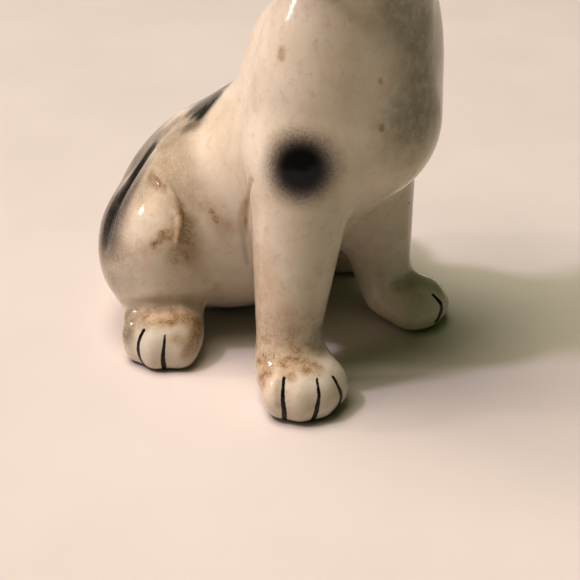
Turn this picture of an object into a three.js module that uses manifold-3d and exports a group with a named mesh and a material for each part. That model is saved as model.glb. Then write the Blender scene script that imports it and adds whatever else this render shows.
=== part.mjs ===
// Seated dog figurine in glazed, slip-cast ceramic, millimetres, +Z up.
//
// The dog sits upright and faces -Y. +X is the dog's own left side, -X its right side.
// The origin is the middle of the footprint, on the surface that the figurine stands on.
//
// The figurine is assembled the way small slip-cast animals are: a hollow torso with the
// haunches cast on, a hollow head, two forelegs, two hind paws, two ears and a tail, each
// cast or pressed on its own and stuck on with slip at a seam before firing. Every pair of
// neighbours keeps a seam gap of SEAM_GAP. Torso and head are shells with a wall of WALL,
// the forelegs have a tapered core, and small pierced vents join the hollow spaces, with
// one firing vent in the underside.
//
// The plump modelled forms are written as lists of ellipsoids and round cones that melt into
// each other over a blend width. A piece's blank is a subdivided icosahedron, and each of its
// vertices is pushed out along its own ray until it lies on the piece's modelled surface.
// The blanks are then cut and joined into the finished pieces.
import * as THREE from 'three';
import { mergeVertices } from 'three/addons/utils/BufferGeometryUtils.js';
import Module from 'manifold-3d';

const wasm = await Module();
wasm.setup();

// ---------------------------------------------------------------- driving dimensions (mm)
const SEAM_GAP = 0.3;          // gap between stuck-on pieces
const WALL = 3.6;              // cast wall of torso and head
const NECK_SEAM_Z = 108;       // level seam between torso and head
const NECK_FLOOR = 4.6;        // closed wall on each side of the neck seam
const VENT_R = 4;              // firing vent in the underside of the torso
const VENT_AT = [0, 22];       // x, y of the firing vent
const PORT_R = 2.6;            // pierced vents at the neck and above the forelegs
const GUARD = 3.4;             // least wall kept between the torso's hollow and a neighbour
const CENTRE_Y = -4.8;          // moves the middle of the footprint onto the origin
const CENTRE_X = 0.14;
// seam across each foreleg: a slanting plane, low at the elbow and high at the front outside
const SEAM_R = { at: [-19, -24, 46], slopeY: -0.5, slopeOut: 0.45 };
const SEAM_L = { at: [17, -14, 43], slopeY: -0.5, slopeOut: 0.45 };
// icosahedron subdivisions of the blanks
const N_TORSO = 11, N_TORSO_CORE = 5, N_HEAD = 9, N_HEAD_CORE = 4, N_LEG = 7, N_PAW = 5, N_EAR = 4, N_TAIL = 4, N_BEAD = 2;

const WHITE = 0xe9dfd2, BLACK = 0x2a2422;

// ---------------------------------------------------------------- modelled forms
// ['e', blend, cx, cy, cz, rx, ry, rz, tiltX, tiltY, tiltZ]   ellipsoid (tilts in degrees)
// ['c', blend, ax, ay, az, bx, by, bz, ra, rb]                round cone
// ['-', blend, cx, cy, cz, rx, ry, rz, tiltX, tiltY, tiltZ]   hollow pressed in
const BODY = [
  ['e', 0, 0, 22.89, 23.3, 30.4, 27.25, 24.3],                 // rump
  ['c', 10, 0, 13.6, 31.52, 0, -8.56, 52.49, 26.71, 22.33],    // barrel
  ['c', 8, 0, -23.03, 64.42, 0, -22.72, 79.85, 21.03, 17.57],  // chest
  ['e', 8, 0, -8.38, 71.9, 13.86, 15.02, 19],                  // withers
  ['c', 8, 0, -23.37, 81.26, 0, -25.15, 105.8, 15.6, 17.19],   // neck
];
const haunch = (s) => [
  ['e', 0, s * 24.97, 21.04, 22.37, 14.84, 14.96, 17.27, 0, s * 8, 0],
  ['e', 6, s * 29.5, 12, 32, 9.5, 11, 11],                     // knee
  ['e', 5, s * 21.7, 12, 36.2, 12.4, 13, 16.4, 0, s * -12, 0], // thigh, rising to the flank
];
const shin = (s, low) => [['c', 0, s * 29.61, 16.23, 20.52, s * (low ? 32.34 : 31.6), low ? 11.68 : 12.8, low ? 12.13 : 14.4, 11.85, low ? 8.76 : 9.6]];
// forelegs from the elbow (a) to the wrist (b)
const LEG_R = { a: [-16.14, -23.1, 56.18], b: [-24.37, -25.73, 12.09], ra: 12.4, rb: 7.21 };
const LEG_L = { a: [13.31, -12.23, 55.08], b: [21.02, -16.1, 12.62], ra: 15.46, rb: 7.43 };
const STUB = 0.42;             // share of the leg that the torso's own casting carries, before the seam cut
const shoulder = (s, L, share) => {
  const m = (i) => L.a[i] + (L.b[i] - L.a[i]) * share;
  return [
    ['e', 0, s * 12.87, -21.58, 73.59, 12.22, 14.14, 28.03, 6, s * -5, 0],
    ['c', 8, ...L.a, m(0), m(1), m(2), L.ra, L.ra + (L.rb - L.ra) * share],
  ];
};
// a paw is a pad with n toes fanned round its heading (degrees from -Y towards +X)
function paw(cx, cy, heading, n, spread, reach, pad, toe, padZ, toeZ, turned = 0, extra = []) {
  const a = heading * Math.PI / 180;
  const out = [['e', 0, cx, cy, padZ, ...pad, 0, 0, heading]];
  for (let i = 0; i < n; i++) {
    const t = (i - (n - 1) / 2) * spread + turned, b = (heading + t) * Math.PI / 180;
    out.push(['e', 1.5,
      cx + Math.sin(a) * reach[0] + Math.sin(b) * reach[1],
      cy - Math.cos(a) * reach[0] - Math.cos(b) * reach[1],
      toeZ, ...toe, 0, 0, heading + t]);
  }
  return [...out, ...extra];
}
const HIND_PAW_R = paw(-31.91, 8.86, -64.61, 3, 39.81, [1, 6.35], [8.17, 10.39, 8.21], [4.9, 6.2, 7.17], 6, 5.4, 3,
  [['e', 3, -32.8, 4, 7.6, 5.3, 5.3, 7.7, 0, 0, 0]]);
const HIND_PAW_L = paw(31.91, 8.86, 50, 3, 38, [1, 6.5], [10, 10.5, 8], [4.9, 6.2, 6.6], 6, 5.4);
const FORE_PAW_R = paw(-25.51, -31.09, -30.65, 4, 37, [0.5, 6.11], [9.89, 9.64, 8], [4.7, 5.8, 6.6], 6.4, 5.8, 6.5);
const FORE_PAW_L = paw(22.24, -23.52, 20.15, 4, 36, [0.5, 5.22], [8.47, 10.45, 5.93], [4.5, 5.8, 4.8], 5.34, 4.87, -2);
const HEAD = [
  ['e', 0, 0, -27, 132, 20.5, 21.5, 18.5],                     // skull
  ['e', 7, 0, -31, 123.5, 18.8, 16.5, 11.5],                   // cheeks
  ['c', 6, 0, -38, 124.5, 0, -52, 121, 12.2, 8.8],             // muzzle
  ['e', 2.5, 4.9, -51.5, 119.4, 6.6, 9.8, 7.4, 0, 0, 8],       // flews
  ['e', 2.5, -4.9, -51.5, 119.4, 6.6, 9.8, 7.4, 0, 0, -8],
  ['e', 2, 0, -47.5, 115.2, 6.6, 10, 4.6],                     // chin
  ['e', 4, 9.2, -39.5, 139.5, 6, 5, 3.6, 20, 0, -25],          // brows
  ['e', 4, -9.2, -39.5, 139.5, 6, 5, 3.6, 20, 0, 25],
  ['-', 2.5, 9.6, -47, 133.4, 4.6, 3.6, 4.4, 0, 0, 25],        // eye sockets
  ['-', 2.5, -9.6, -47, 133.4, 4.6, 3.6, 4.4, 0, 0, -25],
];
const EYES = [['e', 0, 9.2, -42.4, 133.2, 4.3, 3.9, 4.3], ['e', 0, -9.2, -42.4, 133.2, 4.3, 3.9, 4.3]];
const NOSE = ['e', 0, 0, -59.3, 125, 4.6, 3.4, 3.3];
const ear = (s) => [
  ['e', 0, s * 18, -25, 141.5, 5, 8, 5.6, 0, s * 34, 0],       // root
  ['e', 7, s * 23.2, -25.5, 129.5, 3.8, 10.8, 15, 0, s * -9, 0], // hanging flap
];
const TAIL = [
  ['c', 0, 3, 46, 9, 17, 45.5, 7.5, 6.8, 6.2],
  ['c', 4, 17, 45.5, 7.5, 31, 36, 6.5, 6.2, 4.6],
];

// ---------------------------------------------------------------- distance to the modelled forms
function ellipsoid(cx, cy, cz, rx, ry, rz, tx = 0, ty = 0, tz = 0) {
  const d = Math.PI / 180;
  const m = new THREE.Matrix4().makeRotationFromEuler(new THREE.Euler(tx * d, ty * d, tz * d)).transpose();
  const e = m.elements;
  return (x, y, z) => {
    x -= cx; y -= cy; z -= cz;
    const u = e[0] * x + e[4] * y + e[8] * z, v = e[1] * x + e[5] * y + e[9] * z, w = e[2] * x + e[6] * y + e[10] * z;
    const k0 = Math.hypot(u / rx, v / ry, w / rz);
    const k1 = Math.hypot(u / (rx * rx), v / (ry * ry), w / (rz * rz));
    return k0 * (k0 - 1) / Math.max(k1, 1e-6);
  };
}
function roundCone(ax, ay, az, bx, by, bz, r1, r2) {
  const dx = bx - ax, dy = by - ay, dz = bz - az;
  const l2 = dx * dx + dy * dy + dz * dz, rr = r1 - r2, a2 = l2 - rr * rr, il2 = 1 / l2;
  return (x, y, z) => {
    const px = x - ax, py = y - ay, pz = z - az;
    const t = px * dx + py * dy + pz * dz, q = t - l2;
    const wx = px * l2 - dx * t, wy = py * l2 - dy * t, wz = pz * l2 - dz * t;
    const x2 = wx * wx + wy * wy + wz * wz, y2 = t * t * l2, z2 = q * q * l2;
    const k = Math.sign(rr) * rr * rr * x2;
    if (Math.sign(q) * a2 * z2 > k) return Math.sqrt(x2 + z2) * il2 - r2;
    if (Math.sign(t) * a2 * y2 < k) return Math.sqrt(x2 + y2) * il2 - r1;
    return (Math.sqrt(x2 * a2 * il2) + t * rr) * il2 - r1;
  };
}
const melt = (a, b, k) => {
  if (k <= 0) return Math.min(a, b);
  const h = Math.max(k - Math.abs(a - b), 0) / k;
  return Math.min(a, b) - h * h * k * 0.25;
};
function form(rows) {
  const parts = rows.map(([kind, k, ...v]) => ({ kind, k, f: kind === 'c' ? roundCone(...v) : ellipsoid(...v) }));
  return (x, y, z) => {
    let d = parts[0].f(x, y, z);
    for (let i = 1; i < parts.length; i++) {
      const { kind, k, f } = parts[i], g = f(x, y, z);
      d = kind === '-' ? -melt(-d, g, k) : melt(d, g, k);
    }
    return d;
  };
}
// forms melted together: [[blend, form], ...]
const together = (list) => (x, y, z) => {
  let d = list[0][1](x, y, z);
  for (let i = 1; i < list.length; i++) d = melt(d, list[i][1](x, y, z), list[i][0]);
  return d;
};

const torsoForm = together([
  [0, form(BODY)],
  [8, form(haunch(-1))], [6, form(shin(-1, false))],
  [8, form(haunch(1))], [6, form(shin(1, false))],
  [2.5, form(shoulder(-1, LEG_R, STUB))], [2.5, form(shoulder(1, LEG_L, STUB))],
]);
// the torso without the shoulders and the stubs that the forelegs continue
const barrelForm = together([
  [0, form(BODY)],
  [8, form(haunch(-1))], [6, form(shin(-1, false))],
  [8, form(haunch(1))], [6, form(shin(1, false))],
]);
const hollowForm = together([
  [0, form(BODY)], [8, form(haunch(-1))], [8, form(haunch(1))],
]);
const legFormR = together([[0, form(shoulder(-1, LEG_R, 1))], [6, form(FORE_PAW_R)]]);
const legFormL = together([[0, form(shoulder(1, LEG_L, 1))], [6, form(FORE_PAW_L)]]);
const headForm = together([[0, form(HEAD)], [7, form([BODY[4]])]]);

// ---------------------------------------------------------------- blanks and cutters
const toSolid = (g) => {
  const c = g.clone();
  for (const n of Object.keys(c.attributes)) if (n !== 'position') c.deleteAttribute(n);
  const m = mergeVertices(c, 1e-5);
  return new wasm.Manifold(new wasm.Mesh({
    numProp: 3,
    vertProperties: new Float32Array(m.attributes.position.array),
    triVerts: new Uint32Array(m.index.array),
  }));
};
// pushes each vertex of an icosahedron out from the centre until the form's distance is `level`
function blank(f, centre, stretch, detail, level = 0) {
  const g = mergeVertices((() => {
    const i = new THREE.IcosahedronGeometry(1, detail);
    i.deleteAttribute('normal'); i.deleteAttribute('uv');
    return i;
  })(), 1e-5);
  const p = g.attributes.position, v = new THREE.Vector3(), s = new THREE.Vector3(...stretch);
  for (let i = 0; i < p.count; i++) {
    v.fromBufferAttribute(p, i).multiply(s).normalize();
    const at = (t) => f(centre[0] + v.x * t, centre[1] + v.y * t, centre[2] + v.z * t) - level;
    let t = 0.3, d = at(t);
    while (d < 0 && t < 200) { t += Math.max(-d * 0.6, 0.1); d = at(t); }
    let lo = Math.max(t - 2, 0.2), hi = t;
    while (at(lo) > 0 && lo > 0.25) lo = Math.max(lo - 0.5, 0.2);
    for (let n = 0; n < 30; n++) { const m = (lo + hi) / 2; if (at(m) > 0) hi = m; else lo = m; }
    t = (lo + hi) / 2;
    p.setXYZ(i, centre[0] + v.x * t, centre[1] + v.y * t, centre[2] + v.z * t);
  }
  return toSolid(g);
}
// everything on the far side of a plane through `at`, in the direction of `normal`
function beyond(at, normal) {
  const S = 600, n = new THREE.Vector3(...normal).normalize();
  const g = new THREE.BoxGeometry(S, S, S).translate(0, 0, S / 2);
  g.applyQuaternion(new THREE.Quaternion().setFromUnitVectors(new THREE.Vector3(0, 0, 1), n));
  g.translate(...at);
  return toSolid(g);
}
// a round rod or tapered core from a to b
function rod(a, b, ra, rb, sides = 16) {
  const A = new THREE.Vector3(...a), B = new THREE.Vector3(...b), d = B.clone().sub(A);
  const g = new THREE.CylinderGeometry(rb, ra, d.length(), sides).translate(0, d.length() / 2, 0);
  g.applyQuaternion(new THREE.Quaternion().setFromUnitVectors(new THREE.Vector3(0, 1, 0), d.clone().normalize()));
  g.translate(A.x, A.y, A.z);
  return toSolid(g);
}
const legNormal = (s, seam) => new THREE.Vector3(-s * seam.slopeOut, -seam.slopeY, 1).normalize();
const aboveLegSeam = (s, seam, lift) => {
  const n = legNormal(s, seam);
  return beyond([seam.at[0] + n.x * lift, seam.at[1] + n.y * lift, seam.at[2] + n.z * lift], [n.x, n.y, n.z]);
};
const floor = beyond([0, 0, 0], [0, 0, -1]);
const HALF = SEAM_GAP / 2;

// ---------------------------------------------------------------- the pieces
// forelegs: cut at the slanting seam, with a tapered core open at the top
const legStretch = [1, 1, 1.5];
const LEG_C_R = [-24.8, -28.6, 10], LEG_C_L = [21.6, -20, 9];
const legCore = (L) => {
  const m = (i, t) => L.a[i] + (L.b[i] - L.a[i]) * t;
  return rod([m(0, 0.9), m(1, 0.9), m(2, 0.9)], [m(0, 0), m(1, 0), m(2, 0)], 3.4, Math.min(L.ra - WALL - 0.8, 8));
};
const TORSO_C = [0, -2, 42], TORSO_STRETCH = [1, 1.15, 1.7];
const barrel = (grow) => blank(barrelForm, TORSO_C, TORSO_STRETCH, N_TORSO, grow);
const barrelClear = barrel(SEAM_GAP), barrelSkin = barrel(0);
function foreleg(s, L, f, c, seam) {
  return blank(f, c, legStretch, N_LEG)
    .subtract(aboveLegSeam(s, seam, -HALF)).subtract(floor).subtract(barrelClear).subtract(legCore(L));
}
const legRight = foreleg(-1, LEG_R, legFormR, LEG_C_R, SEAM_R);
const legLeft = foreleg(1, LEG_L, legFormL, LEG_C_L, SEAM_L);
const legClear = (s, f, c, seam, grow) => blank(f, c, legStretch, N_LEG, grow).subtract(aboveLegSeam(s, seam, HALF)).subtract(barrelSkin);

// hind paws: solid pads under the haunches
const HIND_C_R = [-32.6, 8.2, 6], HIND_C_L = [33, 7.6, 6];
const hindRight = blank(form(HIND_PAW_R), HIND_C_R, [1, 1, 1], N_PAW).subtract(floor);
const hindLeft = blank(form(HIND_PAW_L), HIND_C_L, [1, 1, 1], N_PAW).subtract(floor);

// torso: shell, closed at the neck, trimmed where the legs and paws are stuck on
const torsoOuter = (grow) => blank(torsoForm, TORSO_C, TORSO_STRETCH, N_TORSO, grow);
let hollow = blank(hollowForm, [0, 0, 42], TORSO_STRETCH, N_TORSO_CORE, -WALL)
  .subtract(beyond([0, 0, NECK_SEAM_Z - NECK_FLOOR], [0, 0, 1]))
  .subtract(beyond([0, 0, WALL + 0.6], [0, 0, -1]))
  .subtract(blank(form(HIND_PAW_R), HIND_C_R, [1, 1, 1], N_PAW, GUARD))
  .subtract(blank(form(HIND_PAW_L), HIND_C_L, [1, 1, 1], N_PAW, GUARD));
hollow = hollow.add(rod([VENT_AT[0], VENT_AT[1], -5], [VENT_AT[0], VENT_AT[1], 14], VENT_R, VENT_R))
  .add(rod([0, -25, NECK_SEAM_Z - NECK_FLOOR - 5], [0, -25, NECK_SEAM_Z + 5], PORT_R, PORT_R, 12));
for (const L of [LEG_R, LEG_L]) {
  const m = (i, t) => L.a[i] + (L.b[i] - L.a[i]) * t;
  hollow = hollow.add(rod([m(0, 0.32), m(1, 0.32), m(2, 0.32)], [m(0, -0.12), m(1, -0.12), m(2, -0.12)], PORT_R, PORT_R, 12));
}
const torso = torsoOuter(0)
  .subtract(beyond([0, 0, NECK_SEAM_Z - HALF], [0, 0, 1]))
  .subtract(floor)
  .subtract(legClear(-1, legFormR, LEG_C_R, SEAM_R, SEAM_GAP))
  .subtract(legClear(1, legFormL, LEG_C_L, SEAM_L, SEAM_GAP))
  .subtract(blank(form(HIND_PAW_R), HIND_C_R, [1, 1, 1], N_PAW, SEAM_GAP))
  .subtract(blank(form(HIND_PAW_L), HIND_C_L, [1, 1, 1], N_PAW, SEAM_GAP))
  .subtract(hollow);

// head: shell with a closed neck floor and its own vent
const HEAD_C = [0, -40, 124];
const bead = (row, grow) => blank(form([row]), row.slice(2, 5), [1, 1, 1], N_BEAD, grow);
const headOuter = (grow) => [...EYES, NOSE].reduce((solid, row) => solid.add(bead(row, grow)),
  blank(headForm, HEAD_C, [1, 1.15, 1.1], N_HEAD, grow));
const headHollow = blank(headForm, [0, -32, 126], [1, 1, 1], N_HEAD_CORE, -WALL - 0.6)
  .subtract(beyond([0, 0, NECK_SEAM_Z + NECK_FLOOR], [0, 0, -1]))
  .add(rod([0, -25, NECK_SEAM_Z - 5], [0, -25, NECK_SEAM_Z + NECK_FLOOR + 5], PORT_R, PORT_R, 12));
const head = headOuter(0).subtract(beyond([0, 0, NECK_SEAM_Z + HALF], [0, 0, -1])).subtract(headHollow);
const headClear = headOuter(SEAM_GAP);

// ears: flaps whose inner face follows the head
const earSolid = (s) => blank(form(ear(s)), [s * 22.4, -25.4, 132], [0.7, 1, 1.2], N_EAR).subtract(headClear);

// tail: laid round the rump, its inner face following the body
const tail = blank(form(TAIL), [16, 45.5, 7.6], [1.4, 1.2, 1], N_TAIL).subtract(torsoOuter(SEAM_GAP)).subtract(floor);

// ---------------------------------------------------------------- scene graph
const glazed = (color) => new THREE.MeshStandardMaterial({ color, roughness: 0.16, metalness: 0 });
const figurine = new THREE.Group();
figurine.name = 'dog_figurine';
function place(name, solid, color) {
  // the largest connected body is the piece; slivers cut loose by the seams are dropped
  const bodies = solid.decompose().sort((a, b) => b.volume() - a.volume());
  const m = bodies[0].getMesh();
  const g = new THREE.BufferGeometry();
  g.setAttribute('position', new THREE.BufferAttribute(new Float32Array(m.vertProperties), 3));
  g.setIndex(new THREE.BufferAttribute(new Uint32Array(m.triVerts), 1));
  g.computeVertexNormals();
  const mesh = new THREE.Mesh(g, glazed(color));
  mesh.name = name;
  mesh.position.set(-CENTRE_X, -CENTRE_Y, 0);
  figurine.add(mesh);
}
place('torso', torso, WHITE);
place('head', head, WHITE);
place('ear_left', earSolid(1), BLACK);
place('ear_right', earSolid(-1), BLACK);
place('foreleg_left', legLeft, WHITE);
place('foreleg_right', legRight, WHITE);
place('hind_paw_left', hindLeft, WHITE);
place('hind_paw_right', hindRight, WHITE);
place('tail', tail, BLACK);

export default figurine;
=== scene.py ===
import math
import time
import bpy
import numpy as np
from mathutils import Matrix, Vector


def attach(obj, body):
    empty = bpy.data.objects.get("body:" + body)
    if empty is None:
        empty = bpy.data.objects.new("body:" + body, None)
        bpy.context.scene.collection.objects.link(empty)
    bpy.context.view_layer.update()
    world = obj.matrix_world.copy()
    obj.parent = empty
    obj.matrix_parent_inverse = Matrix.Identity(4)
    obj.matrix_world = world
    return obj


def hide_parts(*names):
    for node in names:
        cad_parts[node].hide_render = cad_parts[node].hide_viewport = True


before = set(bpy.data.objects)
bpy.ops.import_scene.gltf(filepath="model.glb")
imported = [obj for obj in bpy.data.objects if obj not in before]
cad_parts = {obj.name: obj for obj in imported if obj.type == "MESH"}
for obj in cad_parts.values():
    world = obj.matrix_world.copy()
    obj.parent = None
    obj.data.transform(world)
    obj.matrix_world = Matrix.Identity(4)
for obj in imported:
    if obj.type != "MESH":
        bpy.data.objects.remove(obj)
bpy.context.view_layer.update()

T0 = time.time()
STEP = 0.575            # spacing of the sculpting grid, mm
SHIFT = np.array([-0.14, 4.8, 0.0])       # sculpting frame (mm) to the part's own frame
f32 = np.float32

# ------------------------------------------------------------------ the modelled forms (mm)
# ('e', blend, centre, radii, tilts)  ('c', blend, a, b, ra, rb)  ('-', ...) an ellipsoid pressed in
def E(k, c, r, t=(0, 0, 0)): return ('e', k, c, r, t)
def C(k, a, b, ra, rb): return ('c', k, a, b, ra, rb)
def CUT(k, c, r, t=(0, 0, 0)): return ('-', k, c, r, t)


BODY = [
    E(0, (0, 22.89, 23.3), (30.4, 27.25, 24.3)),
    C(10, (0, 13.6, 31.52), (0, -8.56, 52.49), 26.71, 22.33),
    C(8, (0, -23.03, 64.42), (0, -22.72, 79.85), 21.03, 17.57),
    E(8, (0, -8.38, 71.9), (13.86, 15.02, 19)),
    C(8, (0, -23.37, 81.26), (0, -25.15, 105.8), 15.6, 17.19),
]
def haunch(s):
    return [E(0, (s * 24.97, 21.04, 22.37), (14.84, 14.96, 17.27), (0, s * 8, 0)),
            E(6, (s * 29.5, 12, 32), (9.5, 11, 11)),
            E(5, (s * 21.7, 12, 36.2), (12.4, 13, 16.4), (0, s * -12, 0))]
def shin(s):
    return [C(0, (s * 29.61, 16.23, 20.52), (s * 32.34, 11.68, 12.13), 11.85, 8.76)]
LEG_R = dict(a=(-16.14, -23.1, 56.18), b=(-24.37, -25.73, 12.09), ra=12.4, rb=7.21)
LEG_L = dict(a=(13.31, -12.23, 55.08), b=(21.02, -16.1, 12.62), ra=15.46, rb=7.43)
def shoulder(s, L):
    return [E(0, (s * 12.87, -21.58, 73.59), (12.22, 14.14, 28.03), (6, s * -5, 0)),
            C(8, L['a'], L['b'], L['ra'], L['rb'])]
def paw(cx, cy, heading, n, spread, reach, pad, toe, pad_z, toe_z, turned=0.0, soft=3.0, extra=()):
    a = math.radians(heading)
    out = [E(0, (cx, cy, pad_z), pad, (0, 0, heading))]
    for i in range(n):
        t = (i - (n - 1) / 2) * spread + turned
        b = math.radians(heading + t)
        out.append(E(soft, (cx + math.sin(a) * reach[0] + math.sin(b) * reach[1],
                            cy - math.cos(a) * reach[0] - math.cos(b) * reach[1], toe_z),
                     toe, (0, 0, heading + t)))
    return out + list(extra)
PAWS = {
    'hind_paw_right': (-31.91, 8.86, -64.61, 3, 39.81, (1, 6.35), (8.17, 10.39, 8.21), (4.9, 6.2, 7.17), 6, 5.4, 3, 2.6,
                       (E(4, (-32.8, 4.0, 7.6), (5.3, 5.3, 7.7)), E(4, (-37.5, 9.5, 8.5), (5.6, 7.5, 5.6), (0, -12, 0)))),
    'hind_paw_left': (31.91, 8.86, 50, 3, 38, (1, 6.5), (10, 10.5, 8), (4.9, 6.2, 6.6), 6, 5.4, 0, 2.6),
    'foreleg_right': (-25.51, -31.09, -30.65, 4, 37, (0.5, 6.11), (9.89, 9.64, 8), (4.7, 5.8, 6.6), 6.4, 5.8, 6.5, 2.6),
    'foreleg_left': (22.24, -23.52, 20.15, 4, 36, (0.5, 5.22), (8.47, 10.45, 5.93), (4.5, 5.8, 4.8), 5.34, 4.87, -2, 2.6,
                     (E(3, (20.8, -26.4, 4.6), (4.6, 5.2, 4.7)),)),
}
def mirrored(rows):
    """The rows and their mirror images in x."""
    out = []
    for r in rows:
        out.append(r)
        c, t = r[2], r[4]
        out.append((r[0], r[1], (-c[0], c[1], c[2]), r[3], (t[0], -t[1], -t[2])))
    return out
HEAD = [
    E(0, (0, -27, 132), (20.5, 21.5, 18.5)),
    E(7, (0, -31, 123.5), (18.8, 16.5, 11.5)),
    C(6, (0, -38, 124.5), (0, -52, 121), 12.2, 8.8),
    *mirrored([E(2.5, (4.9, -51.5, 119.4), (6.6, 9.8, 7.4), (0, 0, 8))]),
    E(2, (0, -47.5, 115.2), (6.6, 10, 4.6)),
    *mirrored([E(4, (9.2, -39.5, 139.5), (6, 5, 3.6), (20, 0, -25)),
               CUT(2.5, (9.6, -47, 133.4), (4.6, 3.6, 4.4), (0, 0, 25)),
               E(0.6, (9.2, -42.4, 133.2), (4.3, 3.9, 4.3))]),
    E(0.8, (0, -59.3, 125), (4.6, 3.4, 3.3)),
]
def ear(s):
    return [E(0, (s * 18, -25, 141.5), (5, 8, 5.6), (0, s * 34, 0)),
            E(7, (s * 23.2, -25.5, 129.5), (3.8, 10.8, 15), (0, s * -9, 0))]
TAIL = [C(0, (3, 46, 9), (17, 45.5, 7.5), 6.8, 6.2), C(4, (17, 45.5, 7.5), (31, 36, 6.5), 6.2, 4.6)]

GROUPS = [
    ('body', 0, BODY),
    ('haunch_right', 8, haunch(-1)), ('shin_right', 6, shin(-1)),
    ('haunch_left', 8, haunch(1)), ('shin_left', 6, shin(1)),
    ('hind_paw_right', 3, paw(*PAWS['hind_paw_right'])), ('hind_paw_left', 3, paw(*PAWS['hind_paw_left'])),
    ('leg_right', 5, shoulder(-1, LEG_R)), ('leg_left', 5, shoulder(1, LEG_L)),
    ('fore_paw_right', 6, paw(*PAWS['foreleg_right'])), ('fore_paw_left', 6, paw(*PAWS['foreleg_left'])),
    ('head', 7, HEAD),
    ('ear_left', 1.5, ear(1)), ('ear_right', 1.5, ear(-1)),
    ('tail', 2.5, TAIL),
]
FLOOR_ROUND = 1.0                         # glaze rounding where a foot is ground flat

# ------------------------------------------------------------------ distance to the forms
def turn(t):
    a, b, c = (math.radians(v) for v in t)
    ca, sa, cb, sb, cc, sc = math.cos(a), math.sin(a), math.cos(b), math.sin(b), math.cos(c), math.sin(c)
    return (np.array([[1, 0, 0], [0, ca, -sa], [0, sa, ca]]) @ np.array([[cb, 0, sb], [0, 1, 0], [-sb, 0, cb]])
            @ np.array([[cc, -sc, 0], [sc, cc, 0], [0, 0, 1]])).astype(f32)
def d_row(p, row):
    if row[0] == 'c':
        _, _, a, b, r1, r2 = row
        a, b = np.array(a, f32), np.array(b, f32)
        ba = b - a
        l2 = float(ba @ ba)
        rr = r1 - r2
        a2, il2 = l2 - rr * rr, 1 / l2
        pa = p - a
        y = pa @ ba
        z = y - l2
        w = pa * f32(l2) - y[:, None] * ba
        x2 = np.einsum('ij,ij->i', w, w)
        y2, z2 = y * y * l2, z * z * l2
        k = np.sign(rr) * rr * rr * x2
        o = (np.sqrt(np.maximum(x2 * (a2 * il2), 0)) + y * rr) * il2 - r1
        o = np.where(np.sign(y) * a2 * y2 < k, np.sqrt(x2 + y2) * il2 - r1, o)
        return np.where(np.sign(z) * a2 * z2 > k, np.sqrt(x2 + z2) * il2 - r2, o).astype(f32)
    _, _, c, r, t = row
    q = p - np.array(c, f32)
    if any(t):
        q = q @ turn(t)
    q = q / np.array(r, f32)
    k0 = np.sqrt(np.einsum('ij,ij->i', q, q))
    q /= np.array(r, f32)
    k1 = np.sqrt(np.einsum('ij,ij->i', q, q))
    return k0 * (k0 - 1) / np.maximum(k1, 1e-6)
def melt(a, b, k):
    m = np.minimum(a, b)
    if k <= 0:
        return m
    h = np.maximum(k - np.abs(a - b), 0) / k
    return m - h * h * (k * 0.25)
def d_rows(p, rows):
    d = None
    for row in rows:
        g = d_row(p, row)
        if d is None:
            d = g
        elif row[0] == '-':
            d = -melt(-d, g, row[1])
        else:
            d = melt(d, g, row[1])
    return d
def row_box(row):
    if row[0] == 'c':
        a, b = np.array(row[2]), np.array(row[3])
        return np.minimum(a - row[4], b - row[5]), np.maximum(a + row[4], b + row[5])
    R = np.abs(turn(row[4]).astype(float))
    ext = np.sqrt(((R * np.array(row[3])) ** 2).sum(1))
    return np.array(row[2]) - ext, np.array(row[2]) + ext
BOXES = {}
for n, k, rows in GROUPS:
    bs = [row_box(r) for r in rows if r[0] != '-']
    BOXES[n] = (np.min([b[0] for b in bs], 0), np.max([b[1] for b in bs], 0))
def field(p, groups=GROUPS, floor=True):
    p = np.ascontiguousarray(p, f32)
    d = None
    for name, k, rows in groups:
        if d is None:
            d = d_rows(p, rows)
            continue
        lo, hi = BOXES[name]
        m = k + 5
        near = np.nonzero(np.all((p > lo - m) & (p < hi + m), 1))[0]
        if len(near):
            d[near] = melt(d[near], d_rows(p[near], rows), k)
    if floor:
        d = -melt(-d, p[:, 2], FLOOR_ROUND)
    return d
def gradient(p, fn=field, e=0.12):
    g = np.empty((len(p), 3), f32)
    for a in range(3):
        o = np.zeros(3, f32)
        o[a] = e
        g[:, a] = (fn(p + o) - fn(p - o)) / (2 * e)
    return g
def unit(v):
    return v / np.maximum(np.linalg.norm(v, axis=-1, keepdims=True), 1e-9)
def seat(path, lift, fn):
    """The points of a path, set on the surface and then moved out by lift mm."""
    p = np.array(path, float)
    for _ in range(8):
        g = gradient(p, fn)
        p = p - unit(g) * (fn(p) / np.maximum(np.linalg.norm(g, axis=1), 0.5))[:, None]
    return p + unit(gradient(p, fn)) * lift
def rounded(path, n=3):
    """A smoother path through the same points (Catmull-Rom)."""
    p = np.array(path, float)
    p = np.concatenate([2 * p[:1] - p[1:2], p, 2 * p[-1:] - p[-2:-1]])
    out = []
    for i in range(1, len(p) - 2):
        for t in np.linspace(0, 1, n, endpoint=False):
            out.append(0.5 * (2 * p[i] + (p[i + 1] - p[i - 1]) * t + (2 * p[i - 1] - 5 * p[i] + 4 * p[i + 1] - p[i + 2]) * t ** 2
                              + (3 * p[i] - p[i - 1] - 3 * p[i + 1] + p[i + 2]) * t ** 3))
    out.append(p[-2])
    return np.array(out)

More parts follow.
